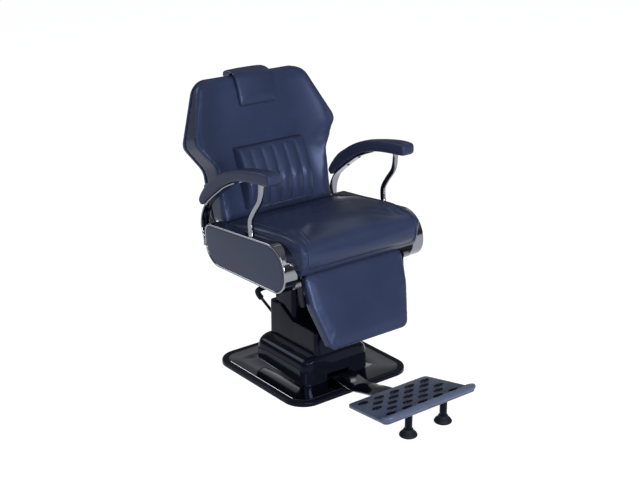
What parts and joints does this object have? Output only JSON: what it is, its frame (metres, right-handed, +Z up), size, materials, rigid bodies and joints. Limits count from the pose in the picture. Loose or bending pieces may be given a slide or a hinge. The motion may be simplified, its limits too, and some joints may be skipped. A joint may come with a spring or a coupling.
{
  "type": "barber chair",
  "caption": "Hydraulic barber chair: padded seat, winged back with channelled lumbar pad, headrest, leg rest, chrome-banded arms, square tray base, stepped column, pump lever and footrest.",
  "frame": {"origin": "centre of the base plate's underside, on the floor", "axes": "+Z up, the chair's front faces -Y, the sitter's left is +X"},
  "size_m": [0.6432, 1.1042, 1.0582],
  "materials": {
    "black_paint": "satin black paint",
    "chrome": "bright chrome plate",
    "steel": "bare machined steel",
    "gloss_cover": "gloss black moulded plastic",
    "arm_plastic": "soft black moulded armrest skin",
    "leather": "blue-black upholstery leather",
    "cast_black": "satin black cast tread plate",
    "rubber": "black rubber",
    "wood": "plywood"
  },
  "bodies": {
    "base": {"base_plate": "black_paint", "base_rim": "black_paint", "base_tray": "chrome", "pump_cylinder": "steel", "lower_cover": "gloss_cover", "middle_cover": "gloss_cover", "lever_bracket": "steel", "lever_pin": "steel", "footrest_bar": "chrome", "footrest_plate": "cast_black", "footrest_leg_left": "black_paint", "footrest_leg_right": "black_paint", "footrest_foot_left": "rubber", "footrest_foot_right": "rubber"},
    "pump_lever": {"lever_rod": "chrome", "lever_grip": "rubber"},
    "lift": {"lift_ram": "steel", "upper_cover": "gloss_cover", "swivel_flange": "steel"},
    "seat": {"swivel_hub": "black_paint", "seat_frame": "black_paint", "seat_board": "wood", "seat_cushion": "leather", "pod_band_left": "chrome", "pod_band_right": "chrome", "pod_core_left": "wood", "pod_core_right": "wood", "pod_panel_left": "leather", "pod_panel_right": "leather", "arm_pad_left": "arm_plastic", "arm_pad_right": "arm_plastic", "arm_bar_left": "chrome", "arm_bar_right": "chrome", "arm_post_left": "chrome", "arm_post_right": "chrome", "recline_pin_left": "steel", "recline_pin_right": "steel", "legrest_pin_left": "steel", "legrest_pin_right": "steel", "release_pin": "steel"},
    "backrest": {"back_cushion": "leather", "back_shell": "leather", "lumbar_cushion": "leather", "headrest_guide": "arm_plastic", "back_arm_left": "black_paint", "back_arm_right": "black_paint", "link_pin_back": "steel"},
    "headrest": {"headrest_pad": "leather", "headrest_bar": "chrome"},
    "legrest": {"legrest_pad": "leather", "legrest_frame": "black_paint", "link_pin_leg": "steel"},
    "link": {"link_rod": "steel"},
    "release": {"release_lever": "chrome", "release_knob": "arm_plastic"}
  },
  "joints": [
    {"name": "seat_lift", "type": "slide", "parent": "base", "child": "lift", "axis": [0, 0, 1], "range_m": [0, 0.115]},
    {"name": "seat_swivel", "type": "hinge", "parent": "lift", "child": "seat", "pos_m": [0, 0.062, 0.41], "axis": [0, 0, 1], "continuous": true},
    {"name": "pump_stroke", "type": "hinge", "parent": "base", "child": "pump_lever", "pos_m": [-0.044, 0.1585, 0.147], "axis": [0, -1, 0], "range_deg": [0, 24], "stiffness_Nm_per_rad": 6, "springref_deg": -8.59},
    {"name": "back_recline", "type": "hinge", "parent": "seat", "child": "backrest", "pos_m": [0, 0.235, 0.505], "axis": [-1, 0, 0], "range_deg": [0, 50]},
    {"name": "legrest_raise", "type": "hinge", "parent": "seat", "child": "legrest", "pos_m": [0, -0.225, 0.455], "axis": [-1, 0, 0], "range_deg": [0, 50]},
    {"name": "link_turn", "type": "hinge", "parent": "backrest", "child": "link", "pos_m": [0.218, 0.265, 0.45], "axis": [-1, 0, 0], "range_deg": [-50, 0]},
    {"name": "headrest_slide", "type": "slide", "parent": "backrest", "child": "headrest", "axis": [0, 0.3387, 0.9409], "range_m": [0, 0.085]},
    {"name": "release_pull", "type": "hinge", "parent": "seat", "child": "release", "pos_m": [0.1468, -0.03, 0.452], "axis": [-1, 0, 0], "range_deg": [0, 14], "stiffness_Nm_per_rad": 1.2, "springref_deg": -14.32}
  ],
  "couplings": [
    {"joint": "legrest_raise", "follows": "back_recline", "ratio": 1},
    {"joint": "link_turn", "follows": "back_recline", "ratio": -1}
  ]
}
